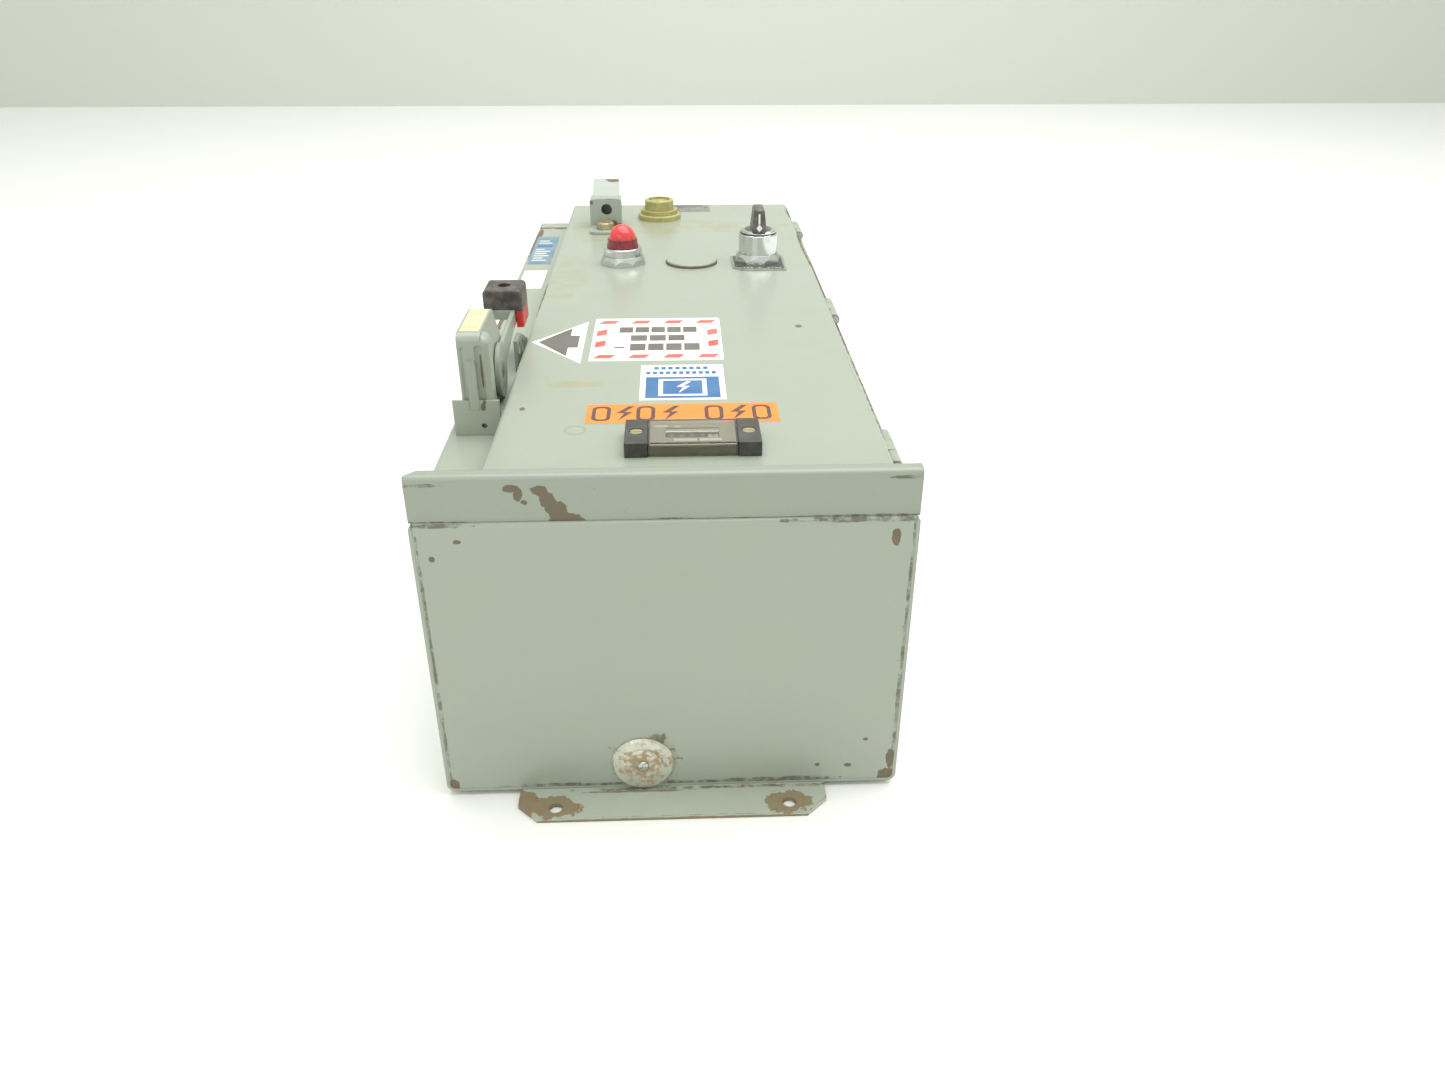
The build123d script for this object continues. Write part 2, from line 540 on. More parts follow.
def lever():
    """Forged fork: two arms that straddle the housing, joined under the grip."""
    grip_middle = (GRIP_Y[0] + GRIP_Y[1]) / 2
    fork = None
    for xs in arm_spans():
        arm = rod("X", (PIVOT_Y, PIVOT_Z), HUB_R, *xs)
        arm += plate_yz([(PIVOT_Y, PIVOT_Z + 14), (PIVOT_Y + 6, PIVOT_Z - 2),
                         (GRIP_Y[0] - 12, GRIP_Z[0] - 9.5), (GRIP_Y[1] - 3, GRIP_Z[0] - 9.5),
                         (GRIP_Y[1] - 3, GRIP_Z[0]), (GRIP_Y[0], GRIP_Z[0])], xs)
        arm -= rod("X", (PIVOT_Y, PIVOT_Z), PIVOT_R, xs[0] - 1, xs[1] + 1)
        fork = arm if fork is None else fork + arm
    left, right = arm_spans()
    web = block((left[0], right[1]), (GRIP_Y[0] - 2, GRIP_Y[1] - 3), (GRIP_Z[0] - 6, GRIP_Z[0]))
    web -= rod("Z", (sum(GRIP_X) / 2, grip_middle), 2.0, GRIP_Z[0] - 7, GRIP_Z[0] + 1)
    return fork + web


def lever_grip():
    """Moulded grip: a block on top of the fork with a leg down its outer side."""
    block_part = block(GRIP_X, GRIP_Y, GRIP_Z)
    leg = block((GRIP_X[1] - GRIP_LEG_WIDTH, GRIP_X[1]), (GRIP_Y[0], GRIP_Y[1]), (GRIP_LEG_Z, GRIP_Z[0]))
    grip = block_part + leg
    grip = fillet(grip.edges().filter_by(Axis.Y).group_by(Axis.Z)[-1], 3.0)
    grip = fillet(grip.edges().filter_by(Axis.X).group_by(Axis.Z)[-1], 1.5)
    middle = (sum(GRIP_X) / 2, sum(GRIP_Y) / 2)
    grip -= rod("Z", middle, GRIP_HOLE_R, GRIP_Z[0] + 4, GRIP_Z[1] + 1)
    return grip - rod("Z", middle, 2.0, GRIP_Z[0] - 1, GRIP_Z[1])


def grip_screw():
    middle = (sum(GRIP_X) / 2, sum(GRIP_Y) / 2)
    seat = GRIP_Z[0] + 4
    screw = rod("Z", middle, 3.8, seat, seat + 3) + rod("Z", middle, 2.0, GRIP_Z[0] - 6, seat)
    return screw - block(span(middle[0], 9), span(middle[1], 1.1), (seat + 1.6, seat + 4))


def pivot_shaft():
    left, right = arm_spans()
    at = (PIVOT_Y, PIVOT_Z)
    shaft = rod("X", at, PIVOT_R, left[0] - 1.5, right[1])
    return shaft + rod("X", at, PIVOT_R + 1.5, left[0] - 1.5, left[0])


def drive_crank():
    """Crank on the pivot shaft that reaches into the box, with its link pin."""
    end = (PIVOT_Y + PIN_DY, PIVOT_Z + PIN_DZ)
    crank = bar_yz((PIVOT_Y, PIVOT_Z), end, 5.0, CRANK_X)
    crank += rod("X", (PIVOT_Y, PIVOT_Z), 10.0, *CRANK_X)
    crank -= rod("X", (PIVOT_Y, PIVOT_Z), PIVOT_R, CRANK_X[0] - 1, CRANK_X[1] + 1)
    return crank + rod("X", end, LINK_PIN_R, CRANK_X[1], LINK_X[1] + 0.4)


def drive_link():
    ends = [(y + PIN_DY, z + PIN_DZ) for y, z in ((PIVOT_Y, PIVOT_Z), (ROTOR_Y, ROTOR_Z))]
    link = bar_yz(ends[0], ends[1], LINK_END_R, LINK_X)
    for end in ends:
        link -= rod("X", end, LINK_PIN_R + RUNNING, LINK_X[0] - 1, LINK_X[1] + 1)
    return link


# ---- fused switch ----------------------------------------------------------------------------

def switch_rotor():
    """Insulated cross shaft with the crank arm and pin that the link drives."""
    end = (ROTOR_Y + PIN_DY, ROTOR_Z + PIN_DZ)
    rotor = rod("X", (ROTOR_Y, ROTOR_Z), ROTOR_R, ARM_X[0], SWITCH_X[1] + 4)
    rotor += bar_yz((ROTOR_Y, ROTOR_Z), end, 6.0, ARM_X)
    return rotor + rod("X", end, LINK_PIN_R, LINK_X[0] - 0.4, ARM_X[0])


def switch_blades():
    """Three copper blades on the cross shaft, drawn in their open position."""
    turn = radians(180 + BLADE_CLOSED - LEVER_SWING)
    tip = (ROTOR_Y + BLADE_REACH * cos(turn), ROTOR_Z + BLADE_REACH * sin(turn))
    blades = []
    for x in POLE_XS:
        xs = span(x, BLADE_THICK)
        blade = bar_yz((ROTOR_Y, ROTOR_Z), tip, BLADE_WIDTH / 2, xs)
        blade += rod("X", (ROTOR_Y, ROTOR_Z), ROTOR_R + 5, *xs)
        blades.append(blade - rod("X", (ROTOR_Y, ROTOR_Z), ROTOR_R, xs[0] - 1, xs[1] + 1))
    return blades


def switch_base():
    """Moulded base with barriers between the poles."""
    base = block(SWITCH_X, SWITCH_Y, (DECK_Z, SWITCH_BASE_TOP))
    for x in BARRIER_XS:
        base += block(span(x, BARRIER), (SWITCH_Y[0], ROTOR_Y - ROTOR_R - 13), (SWITCH_BASE_TOP, ROTOR_Z + 24))
    return base


def switch_side_plates():
    plates = []
    for xs in ((SWITCH_X[0] - 3.0, SWITCH_X[0]), (SWITCH_X[1], SWITCH_X[1] + 3.0)):
        side = plate_yz([(ROTOR_Y - 26, DECK_Z), (ROTOR_Y - 14, ROTOR_Z + 14), (ROTOR_Y + 14, ROTOR_Z + 14),
                         (ROTOR_Y + 26, DECK_Z)], xs)
        plates.append(side - rod("X", (ROTOR_Y, ROTOR_Z), ROTOR_R + RUNNING, xs[0] - 1, xs[1] + 1))
    return plates


def line_jaws():
    """Spring jaws that take the blade ends, each with its line lug."""
    closed = radians(180 + BLADE_CLOSED)
    mouth_y = ROTOR_Y + (BLADE_REACH - 4) * cos(closed)
    mouth_z = ROTOR_Z + (BLADE_REACH - 4) * sin(closed)
    jaws = []
    for x in POLE_XS:
        inner = BLADE_THICK / 2 + FIT
        foot = block(span(x, 18), (SWITCH_Y[0] + 4, mouth_y + 8), (SWITCH_BASE_TOP, SWITCH_BASE_TOP + 3))
        lug_y = (SWITCH_Y[0] + 4, SWITCH_Y[0] + 18)
        lug = block(span(x, 16), lug_y, (SWITCH_BASE_TOP + 3, SWITCH_BASE_TOP + 19))
        lug -= rod("Y", (x, SWITCH_BASE_TOP + 10), 4.5, SWITCH_Y[0], SWITCH_Y[0] + 20)
        jaw = foot + lug
        for side in (-1, 1):
            xs = sorted((x + side * inner, x + side * (inner + JAW_SHEET)))
            jaw += block(xs, (mouth_y - 8, mouth_y + 8), (SWITCH_BASE_TOP + 3, mouth_z + 9))
        jaws.append(jaw)
    return jaws


def blade_pivot_jaws():
    """Current-carrying jaws each side of a blade's hub, with the strap to the fuse clip."""
    jaws = []
    for x in POLE_XS:
        inner = BLADE_THICK / 2 + FIT
        jaw = block(span(x, 16), (ROTOR_Y - 10, SWITCH_Y[1] - 2), (SWITCH_BASE_TOP, SWITCH_BASE_TOP + 3))
        for side in (-1, 1):
            xs = sorted((x + side * inner, x + side * (inner + JAW_SHEET)))
            jaw += block(xs, (ROTOR_Y - 9, ROTOR_Y + 9), (SWITCH_BASE_TOP + 3, ROTOR_Z + 12))
        jaws.append(jaw - rod("X", (ROTOR_Y, ROTOR_Z), ROTOR_R + RUNNING, x - 12, x + 12))
    return jaws


def fuse_block():
    base = block((SWITCH_X[0] + 6, SWITCH_X[1] - 6), FUSE_BLOCK_Y, (DECK_Z, FUSE_BLOCK_TOP))
    for x in BARRIER_XS:
        base += block(span(x, BARRIER), FUSE_BLOCK_Y, (FUSE_BLOCK_TOP, FUSE_Z + 16))
    return base


def fuse_ends():
    half = FUSE_LENGTH / 2
    return ((FUSE_Y - half, FUSE_Y - half + FERRULE_LENGTH), (FUSE_Y + half - FERRULE_LENGTH, FUSE_Y + half))


def fuse_clips():
    clips = []
    for x in POLE_XS:
        for ys in fuse_ends():
            reach = (ys[0] + 2, ys[1] - 2)
            clip = ring("Y", (x, FUSE_Z), FUSE_R + JAW_SHEET, FUSE_R, *reach)
            clip -= block(span(x, 11), (ys[0], ys[1]), (FUSE_Z, FUSE_Z + 20))
            clip += block(span(x, 5), reach, (FUSE_BLOCK_TOP, FUSE_Z - FUSE_R - 0.5))
            clip += block(span(x, 18), reach, (FUSE_BLOCK_TOP, FUSE_BLOCK_TOP + 2))
            clips.append(clip)
    return clips


def fuses():
    """Cartridge fuses: a fibre tube between two ferrules."""
    first, last = fuse_ends()
    cartridges = []
    for x in POLE_XS:
        tube = rod("Y", (x, FUSE_Z), FUSE_R - 0.8, first[1], last[0])
        cartridges.append(tube + rod("Y", (x, FUSE_Z), FUSE_R, *first) + rod("Y", (x, FUSE_Z), FUSE_R, *last))
    return cartridges


# ---- starter ---------------------------------------------------------------------------------

def contactor_base():
    """Moulded frame, open upwards over the magnet."""
    base = block(CONTACTOR_X, CONTACTOR_Y, (DECK_Z, CONTACTOR_SPLIT))
    return base - block(magnet_x(2.0), magnet_y(2.0), (DECK_Z + 6, CONTACTOR_SPLIT + 1))


def magnet_x(grow):
    middle = sum(CONTACTOR_X) / 2
    return span(middle, 60 + 2 * grow)


def magnet_y(grow):
    middle = sum(CONTACTOR_Y) / 2
    return span(middle, 56 + 2 * grow)


def contactor_coil():
    """Magnet yoke with its wound coil, seated in the frame."""
    floor = DECK_Z + 6
    yoke = block(magnet_x(0), magnet_y(-14), (floor, floor + 8))
    coil = block(magnet_x(-12), magnet_y(0), (floor + 8, floor + 28))
    return yoke + fillet(coil.edges().filter_by(Axis.Z), 5.0)


def contactor_armature():
    """Moving magnet half with its contact carrier, drawn dropped out."""
    low = DECK_Z + 34 + ARMATURE_TRAVEL + FIT
    plate = block(magnet_x(0), magnet_y(-14), (low, low + 7))
    carrier = block(magnet_x(-18), magnet_y(-18), (low + 7, CONTACTOR_SPLIT + 20))
    return plate + carrier


def contactor_housing():
    """Arc chute cover with three terminals a side, over the contact carrier."""
    deck = CONTACTOR_TOP - 20.0
    cover = block(CONTACTOR_X, CONTACTOR_Y, (CONTACTOR_SPLIT, CONTACTOR_TOP))
    cover -= block(magnet_x(2.0), magnet_y(2.0), (CONTACTOR_SPLIT - 1, deck - 2))
    for y, out in ((CONTACTOR_Y[0], -1), (CONTACTOR_Y[1], 1)):
        for x in POLE_XS:
            bay = sorted((y + out, y - out * 14))
            cover -= block(span(x, 18), bay, (deck, CONTACTOR_TOP + 1))
            cover += rod("Z", (x, y - out * 7), 5.0, deck, deck + 4)
    return cover


def overload_relay():
    """Bimetal relay with three heater bays and the guide bore for its reset pin."""
    relay = block(RELAY_X, RELAY_Y, (DECK_Z, RELAY_TOP - 22))
    upper = (RELAY_X[0] + 8, RELAY_X[1] - 8)
    relay += block(upper, (RELAY_Y[0] + 40, RELAY_Y[1]), (RELAY_TOP - 22, RELAY_TOP))
    for x in POLE_XS:
        relay += block(span(x, 14), (RELAY_Y[0] + 4, RELAY_Y[0] + 36), (RELAY_TOP - 22, RELAY_TOP - 14))
    return relay - rod("Z", (RESET_X, RESET_Y), RESET_PIN_R + RUNNING, RELAY_TOP - 14, RELAY_TOP + 1)


def overload_reset_pin():
    foot = RELAY_TOP - 14 + RESET_TRAVEL + 1
    return rod("Z", (RESET_X, RESET_Y), RESET_PIN_R, foot, RELAY_TOP + RESET_PIN_PROUD)


def control_transformer():
    """Laminated core with its coil standing out both ends, on a bent foot."""
    core = block(TRANSFORMER_X, (TRANSFORMER_Y[0] + 16, TRANSFORMER_Y[1] - 16), (DECK_Z + 2, TRANSFORMER_TOP))
    foot = block(TRANSFORMER_X, TRANSFORMER_Y, (DECK_Z, DECK_Z + 2))
    coil = block((TRANSFORMER_X[0] + 8, TRANSFORMER_X[1] - 8), (TRANSFORMER_Y[0] + 3, TRANSFORMER_Y[1] - 3),
                 (DECK_Z + 14, TRANSFORMER_TOP - 12))
    return core + foot + fillet(coil.edges().filter_by(Axis.X), 8.0)


# ---- door ------------------------------------------------------------------------------------

def door_pan():
    low = RIM_Z + DOOR_GAP
    pan = block(DOOR_X, DOOR_Y, (low, DOOR_Z))
    pan = fillet(pan.edges().filter_by(Axis.Z) + pan.edges().group_by(Axis.Z)[-1], DOOR_BEND)
    inner = block((DOOR_X[0] + SHEET, DOOR_X[1] - SHEET), (DOOR_Y[0] + SHEET, DOOR_Y[1] - SHEET),
                  (low - 1, DOOR_UNDER))
    inner = fillet(inner.edges().filter_by(Axis.Z) + inner.edges().group_by(Axis.Z)[-1], DOOR_BEND - SHEET)
    pan -= inner
    for x in (PILOT_X, PLUG_X, SELECTOR_X):
        pan -= rod("Z", (x, OPERATOR_Y), OPERATOR_HOLE_R, DOOR_UNDER - 1, DOOR_Z + 1)
    pan -= rod("Z", (RESET_X, RESET_Y), RESET_CAP_R + 0.2, DOOR_UNDER - 1, DOOR_Z + 1)
    pan -= rod("Z", (LATCH_X, LATCH_Y), LATCH_NECK_R + 0.1, DOOR_UNDER - 1, DOOR_Z + 1)
    pan -= block(meter_bay(METER_X, METER_CAP), meter_bay(METER_Y, 4.0), (DOOR_UNDER - 1, DOOR_Z + 1))
    return pan


def meter_bay(limits, inset):
    return (limits[0] + inset, limits[1] - inset)


def door_gasket():
    """Square-section seal on the underside of the door, over the box lip."""
    half = 4.0
    centre_x = (OPENING_X[0] + SHEET / 2, OPENING_X[1] - SHEET / 2)
    centre_y = (OPENING_Y[0] + SHEET / 2, OPENING_Y[1] - SHEET / 2)
    zs = (RIM_Z + LIP_RISE + FIT, DOOR_UNDER)
    outer = block((centre_x[0] - half, centre_x[1] + half), (centre_y[0] - half, centre_y[1] + half), zs)
    inner = block((centre_x[0] + half, centre_x[1] - half), (centre_y[0] + half, centre_y[1] - half),
                  (zs[0] - 1, zs[1] + 1))
    return outer - inner


def door_hinge_leaves():
    leaves = []
    for centre in HINGE_YS:
        _, middle, _ = hinge_parts(centre)
        ys = (middle[0] + FIT, middle[1] - FIT)
        leaf = ring("Y", (HINGE_X, HINGE_Z), KNUCKLE_R, PIN_R + RUNNING, *ys)
        tongue = block((DOOR_X[1], HINGE_X), ys, (HINGE_Z + KNUCKLE_R - HINGE_LEAF, HINGE_Z + KNUCKLE_R))
        tongue -= rod("Y", (HINGE_X, HINGE_Z), PIN_R + RUNNING, ys[0] - 1, ys[1] + 1)
        leaves.append(leaf + tongue)
    return leaves


def latch_bracket():
    """Folded bracket over the latch screw: foot, closed hood with padlock holes, and lift tab."""
    xs = span(LATCH_X, LATCH_WIDTH)
    top = DOOR_Z + LATCH_RISE
    back = LATCH_FACE_Y + 20
    foot = block(xs, (LATCH_FACE_Y - 26, back + 4), (DOOR_Z, DOOR_Z + LATCH_SHEET))
    foot = fillet(foot.edges().filter_by(Axis.Z).group_by(Axis.Y)[0], 8.0)
    front = block(xs, (LATCH_FACE_Y, LATCH_FACE_Y + LATCH_SHEET), (DOOR_Z + LATCH_SHEET, top))
    cheeks = [block(side, (LATCH_FACE_Y + LATCH_SHEET, back), (DOOR_Z + LATCH_SHEET, top))
              for side in ((xs[0], xs[0] + LATCH_SHEET), (xs[1] - LATCH_SHEET, xs[1]))]
    roof = block(xs, (LATCH_FACE_Y + LATCH_SHEET, back), (top - LATCH_SHEET, top))
    rear = block(xs, (back - LATCH_SHEET, back), (DOOR_Z + LATCH_SHEET, top))
    hood = front + cheeks[0] + cheeks[1] + roof + rear
    hood = fillet(hood.edges().filter_by(Axis.Y).group_by(Axis.Z)[-1], 2.2)
    tab = plate_yz([(back - 4, top - LATCH_SHEET), (back, top - LATCH_SHEET), (back + 17, top + 9.5),
                    (back + 16, top + 11.5), (back - 4, top)], span(LATCH_X, LATCH_WIDTH - 5))
    bracket = foot + hood + tab
    bracket -= rod("Y", (LATCH_X + 1, DOOR_Z + 17.5), 5.0, LATCH_FACE_Y - 1, LATCH_FACE_Y + LATCH_SHEET + 1)
    bracket -= rod("X", (LATCH_FACE_Y + 10, DOOR_Z + 17.5), 5.0, xs[1] - LATCH_SHEET - 1, xs[1] + 1)
    return bracket - rod("Z", (LATCH_X, LATCH_Y), LATCH_NECK_R + 0.1, DOOR_Z - 1, DOOR_Z + LATCH_SHEET + 1)


def latch_screw():
    seat = DOOR_Z + LATCH_SHEET + 0.1
    head = rod("Z", (LATCH_X, LATCH_Y), LATCH_SCREW_R, seat, seat + 6)
    head = fillet(head.edges().group_by(Axis.Z)[-1], 1.4)
    head -= block(span(LATCH_X, 20), span(LATCH_Y, 2.2), (seat + 3.4, seat + 7))
    return head + rod("Z", (LATCH_X, LATCH_Y), LATCH_NECK_R, RIM_Z - SHEET - 5.5, seat)


def latch_pawl():
    """Pawl on the latch screw that turns under the handle-side rim flange."""
    zs = (RIM_Z - SHEET - 5.5, RIM_Z - SHEET - 2.5)
    pawl = block(span(LATCH_X, 14), (LATCH_Y - 9, LATCH_Y + PAWL_LENGTH - 9), zs)
    pawl = fillet(pawl.edges().filter_by(Axis.Z), 4.0)
    return pawl - rod("Z", (LATCH_X, LATCH_Y), LATCH_NECK_R, zs[0] - 1, zs[1] + 1)


def ring_nut(x, seat):
    """Octagonal ring nut of a 30 mm operator, with a round collar on top."""
    nut = extrude(RegularPolygon(RING_NUT_R, 8), RING_NUT_HEIGHT)
    nut = Pos(x, OPERATOR_Y, seat) * nut
    nut = chamfer(nut.edges().group_by(Axis.Z)[-1], 1.0)
    return nut - rod("Z", (x, OPERATOR_Y), OPERATOR_R, seat - 1, seat + RING_NUT_HEIGHT + 1)


def operator_ring_nuts():
    return [ring_nut(PILOT_X, DOOR_Z), ring_nut(SELECTOR_X, DOOR_Z + LEGEND_SHEET)]


def operator_body(x, seat, neck_top):
    """Threaded neck through the door and the square housing behind it."""
    body = rod("Z", (x, OPERATOR_Y), OPERATOR_R, DOOR_UNDER - 6, neck_top)
    body += block(span(x, OPERATOR_REAR), span(OPERATOR_Y, OPERATOR_REAR), (DOOR_UNDER - 22, DOOR_UNDER))
    collar = rod("Z", (x, OPERATOR_Y), 16.2, seat + RING_NUT_HEIGHT, neck_top)
    return body + fillet(collar.edges().group_by(Axis.Z)[-1], 1.2)


def pilot_body():
    """Lamp holder with its transformer block."""
    top = DOOR_Z + RING_NUT_HEIGHT + 6.5
    body = operator_body(PILOT_X, DOOR_Z, top)
    body += block(span(PILOT_X, 36), span(OPERATOR_Y, 32), (DOOR_UNDER - 52, DOOR_UNDER - 22))
    return body - rod("Z", (PILOT_X, OPERATOR_Y), 9.0, DOOR_UNDER - 10, top + 1)


def pilot_lens():
    """Hollow lens: grip skirt below and a dome above."""
    low = DOOR_Z + RING_NUT_HEIGHT + 6.5
    at = (PILOT_X, OPERATOR_Y)
    lens = rod("Z", at, 13.4, low, low + 7)
    lens += rod("Z", at, 12.2, low + 7, low + 9)
    dome = Pos(at[0], at[1], low + 9) * Sphere(12.2)
    lens += scale(dome & block(span(at[0], 30), span(at[1], 30), (low + 9, low + 30)), (1, 1, 0.75)).moved(
        Pos(0, 0, (low + 9) * 0.25))
    return lens - rod("Z", at, 8.5, low - 1, low + 10)


def pilot_bulb():
    base = DOOR_UNDER - 10
    bulb = rod("Z", (PILOT_X, OPERATOR_Y), 4.6, base, base + 15)
    glass = Pos(PILOT_X, OPERATOR_Y, base + 20) * Sphere(5.4)
    return bulb + rod("Z", (PILOT_X, OPERATOR_Y), 4.2, base + 15, base + 18) + glass


def blank_plug():
    at = (PLUG_X, OPERATOR_Y)
    disc = rod("Z", at, BLANK_R, DOOR_Z, DOOR_Z + 3)
    disc = fillet(disc.edges().group_by(Axis.Z)[-1], 1.6)
    return disc + rod("Z", at, OPERATOR_R, DOOR_UNDER, DOOR_Z) + rod("Z", at, 19, DOOR_UNDER - 4, DOOR_UNDER)


def selector_legend_plate():
    plate = block(span(SELECTOR_X, LEGEND_SIZE), (OPERATOR_Y - 28.6, OPERATOR_Y - 28.6 + LEGEND_SIZE),
                  (DOOR_Z, DOOR_Z + LEGEND_SHEET))
    corners = plate.edges().filter_by(Axis.Z)
    plate = chamfer(corners.group_by(Axis.X)[0].sort_by(Axis.Y)[0:1], 8.0)
    return plate - rod("Z", (SELECTOR_X, OPERATOR_Y), OPERATOR_R, DOOR_Z - 1, DOOR_Z + 3)


def selector_body():
    top = DOOR_Z + 25.0
    body = operator_body(SELECTOR_X, DOOR_Z + LEGEND_SHEET, top)
    body -= rod("Z", (SELECTOR_X, OPERATOR_Y), 12.0, DOOR_Z + 12, top + 1)
    return body - rod("Z", (SELECTOR_X, OPERATOR_Y), 5.0 + RUNNING, DOOR_UNDER - 23, top)


def selector_knob():
    """Lever knob with its skirt in the bushing, spindle and cam."""
    at = (SELECTOR_X, OPERATOR_Y)
    skirt = rod("Z", at, 11.9, DOOR_Z + 12.1, DOOR_Z + 27.5)
    wing = plate_yz([(OPERATOR_Y - 16.5, DOOR_Z + 27.5), (OPERATOR_Y - 13.5, DOOR_Z + KNOB_TOP - 2),
                     (OPERATOR_Y - 8, DOOR_Z + KNOB_TOP), (OPERATOR_Y + 8, DOOR_Z + KNOB_TOP),
                     (OPERATOR_Y + 13, DOOR_Z + 27.5)], span(SELECTOR_X, KNOB_WIDTH))
    wing = fillet(wing.edges().filter_by(Axis.X).group_by(Axis.Z)[-1], 2.0)
    cap = rod("Z", at, 14.9, DOOR_Z + 25.1, DOOR_Z + 27.5)
    spindle = rod("Z", at, 5.0, DOOR_UNDER - 24, DOOR_Z + 12.1)
    return skirt + cap + wing + spindle


def selector_contact_block():
    outer = block(span(SELECTOR_X, 38), span(OPERATOR_Y, 30), (DOOR_UNDER - 56, DOOR_UNDER - 22))
    return outer - rod("Z", (SELECTOR_X, OPERATOR_Y), 6.5, DOOR_UNDER - 26, DOOR_UNDER - 20)


def reset_bezel():
    """Oil-tight bezel that guides the reset cap, with its rear sleeve."""
    at = (RESET_X, RESET_Y)
    bezel = rod("Z", at, RESET_FLANGE_R, DOOR_Z, DOOR_Z + 5)
    bezel = fillet(bezel.edges().group_by(Axis.Z)[-1], 1.5)
    bezel += rod("Z", at, RESET_SHOULDER_R, DOOR_Z + 5, DOOR_Z + 8.7)
    bezel -= rod("Z", at, RESET_CAP_R + RUNNING, DOOR_Z - 1, DOOR_Z + 10)
    rear = rod("Z", at, RESET_SHOULDER_R, DOOR_UNDER - 20, DOOR_UNDER)
    rear -= rod("Z", at, RESET_CAP_R + 0.2, DOOR_UNDER - 18, DOOR_UNDER + 1)
    rear -= rod("Z", at, 4.0 + RUNNING, DOOR_UNDER - 21, DOOR_UNDER)
    neck = ring("Z", at, RESET_CAP_R + 0.2, RESET_CAP_R + RUNNING, DOOR_UNDER - 1, DOOR_Z)
    return bezel + rear + neck


def reset_button():
    """Cap with a dished top and the long plunger to the relay."""
    at = (RESET_X, RESET_Y)
    cap = rod("Z", at, RESET_CAP_R, DOOR_Z - 3, DOOR_Z + 18)
    cap = fillet(cap.edges().group_by(Axis.Z)[-1], 1.5)
    cap -= rod("Z", at, RESET_CAP_R - 3.5, DOOR_Z + 16, DOOR_Z + 19)
    return cap + rod("Z", at, 4.0, RELAY_TOP + RESET_PIN_PROUD + FIT, DOOR_Z - 3)


def reset_spring():
    """Return spring between the bezel's floor and the cap."""
    low, high = DOOR_UNDER - 18, DOOR_Z - 3
    wire = 0.7
    turns = 4
    path = Helix((high - low - 2 * wire) / turns, high - low - 2 * wire, 7.0)
    path = Pos(RESET_X, RESET_Y, low + wire) * path
    section = Plane(origin=path @ 0, z_dir=path % 0) * Circle(wire)
    return sweep(section, path=path)


def hour_meter_case():
    """Moulded case on the door face, open at the window, with its body behind the door."""
    top = DOOR_Z + METER_RISE
    case = block(METER_X, METER_Y, (DOOR_Z, top))
    case = fillet(case.edges().filter_by(Axis.Z), 1.0)
    bay_x, bay_y = meter_bay(METER_X, METER_CAP), meter_bay(METER_Y, 4.0)
    body_x, body_y = (bay_x[0] + 0.2, bay_x[1] - 0.2), (bay_y[0] + 0.2, bay_y[1] - 0.2)
    case += block(body_x, body_y, (DOOR_UNDER - 22, DOOR_Z))
    well_x = (bay_x[0] + METER_WALL, bay_x[1] - METER_WALL)
    well_y = (bay_y[0] + METER_WALL, bay_y[1] - METER_WALL)
    case -= block(well_x, well_y, (DOOR_UNDER - 20, top - 2.0))
    case -= block(bay_x, (METER_Y[0] + 2.0, METER_Y[1] - 2.0), (top - 2.0, top + 1))
    for x in meter_screw_xs():
        case -= rod("Z", (x, sum(METER_Y) / 2), 2.0, DOOR_Z - 1, top + 1)
        case -= rod("Z", (x, sum(METER_Y) / 2), 4.0, top - 2.5, top + 1)
    axle = meter_bay(METER_X, METER_CAP + METER_WALL)
    return case + rod("X", meter_axis(), 1.5, *axle)


def meter_screw_xs():
    return (METER_X[0] + METER_CAP / 2, METER_X[1] - METER_CAP / 2)


def hour_meter_window():
    top = DOOR_Z + METER_RISE
    return block(meter_bay(METER_X, METER_CAP), (METER_Y[0] + 2.0, METER_Y[1] - 2.0), (top - 2.0, top))


def hour_meter_screws():
    seat = DOOR_Z + METER_RISE - 2.5
    y = sum(METER_Y) / 2
    screws = []
    for x in meter_screw_xs():
        screw = rod("Z", (x, y), 3.6, seat, seat + 2.2) + rod("Z", (x, y), 2.0, DOOR_Z, seat)
        screws.append(screw - block(span(x, 9), span(y, 1.0), (seat + 1.2, seat + 3)))
    return screws


def wheel_at(index):
    """Limits across X of one number wheel, counted from the left."""
    middle = sum(METER_X) / 2
    low = middle + (index - WHEEL_COUNT / 2) * (WHEEL_WIDTH + FIT)
    return (low, low + WHEEL_WIDTH)


def meter_axis():
    return (sum(METER_Y) / 2, DOOR_Z - 2.0)


def hour_meter_fast_wheel():
    return ring("X", meter_axis(), WHEEL_R, 1.5 + RUNNING, *wheel_at(WHEEL_COUNT - 1))


def hour_meter_slow_wheels():
    return [ring("X", meter_axis(), WHEEL_R, 1.5 + RUNNING, *wheel_at(i)) for i in range(WHEEL_COUNT - 1)]


def nameplate():
    """Metal plate near the bottom edge of the door, held by two drive rivets."""
    middle = (RESET_X + 17.0, DOOR_Y[1] - 19.5)
    plate = block(span(middle[0], 67.0), span(middle[1], 27.0), (DOOR_Z, DOOR_Z + 0.8))
    plate = fillet(plate.edges().filter_by(Axis.Z), 2.0)
    for x in span(middle[0], 59.0):
        plate += rod("Z", (x, middle[1]), 2.0, DOOR_Z + 0.8, DOOR_Z + 1.8)
    return plate


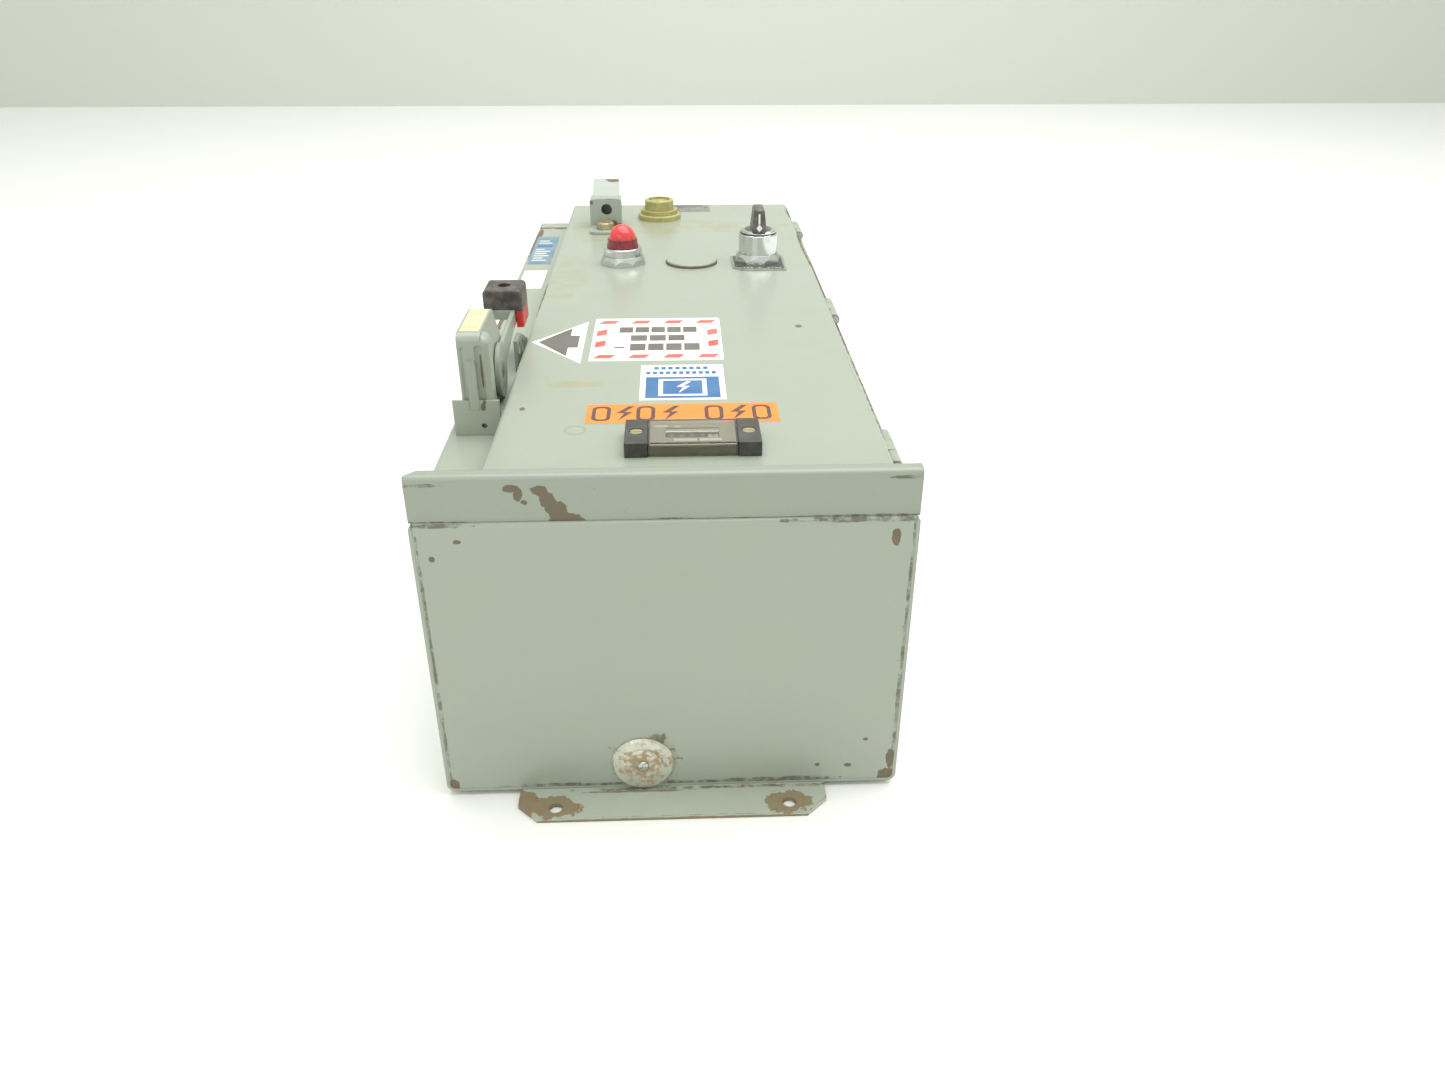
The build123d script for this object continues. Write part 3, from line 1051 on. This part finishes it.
NODES = {
    "enclosure_shell": enclosure_shell, "top_end_wall": lambda: end_wall(-1),
    "bottom_end_wall": lambda: end_wall(1), "drip_hood": drip_hood, "mounting_feet": mounting_feet,
    "conduit_plug_disc": conduit_plug_disc, "conduit_plug_screw": conduit_plug_screw,
    "conduit_plug_bar": conduit_plug_bar, "box_hinge_leaves": box_hinge_leaves, "hinge_pins": hinge_pins,
    "back_pan": back_pan, "pan_studs": pan_studs,
    "handle_base": handle_base, "handle_housing": handle_housing,
    "lever": lever, "lever_grip": lever_grip, "grip_screw": grip_screw, "pivot_shaft": pivot_shaft,
    "drive_crank": drive_crank, "drive_link": drive_link,
    "switch_rotor": switch_rotor, "switch_blades": switch_blades, "switch_base": switch_base,
    "switch_side_plates": switch_side_plates, "line_jaws": line_jaws, "blade_pivot_jaws": blade_pivot_jaws,
    "fuse_block": fuse_block, "fuse_clips": fuse_clips, "fuses": fuses,
    "contactor_base": contactor_base, "contactor_coil": contactor_coil,
    "contactor_armature": contactor_armature, "contactor_housing": contactor_housing,
    "overload_relay": overload_relay, "overload_reset_pin": overload_reset_pin,
    "control_transformer": control_transformer,
    "door_pan": door_pan, "door_gasket": door_gasket, "door_hinge_leaves": door_hinge_leaves,
    "latch_bracket": latch_bracket, "latch_screw": latch_screw, "latch_pawl": latch_pawl,
    "operator_ring_nuts": operator_ring_nuts, "pilot_body": pilot_body, "pilot_lens": pilot_lens,
    "pilot_bulb": pilot_bulb, "blank_plug": blank_plug,
    "selector_legend_plate": selector_legend_plate, "selector_body": selector_body,
    "selector_knob": selector_knob, "selector_contact_block": selector_contact_block,
    "reset_bezel": reset_bezel, "reset_button": reset_button, "reset_spring": reset_spring,
    "hour_meter_case": hour_meter_case, "hour_meter_window": hour_meter_window,
    "hour_meter_screws": hour_meter_screws,
    "hour_meter_fast_wheel": hour_meter_fast_wheel, "hour_meter_slow_wheels": hour_meter_slow_wheels,
    "nameplate": nameplate,
}

os.makedirs("parts", exist_ok=True)
for node, make in NODES.items():
    made = make()
    solids = made if isinstance(made, list) else [made]
    flat = [solid for item in solids for solid in item.solids()]
    export_step(flat[0] if len(flat) == 1 else Compound(flat), f"parts/{node}.step")
    print(node, len(flat), round(sum(s.volume for s in flat)))
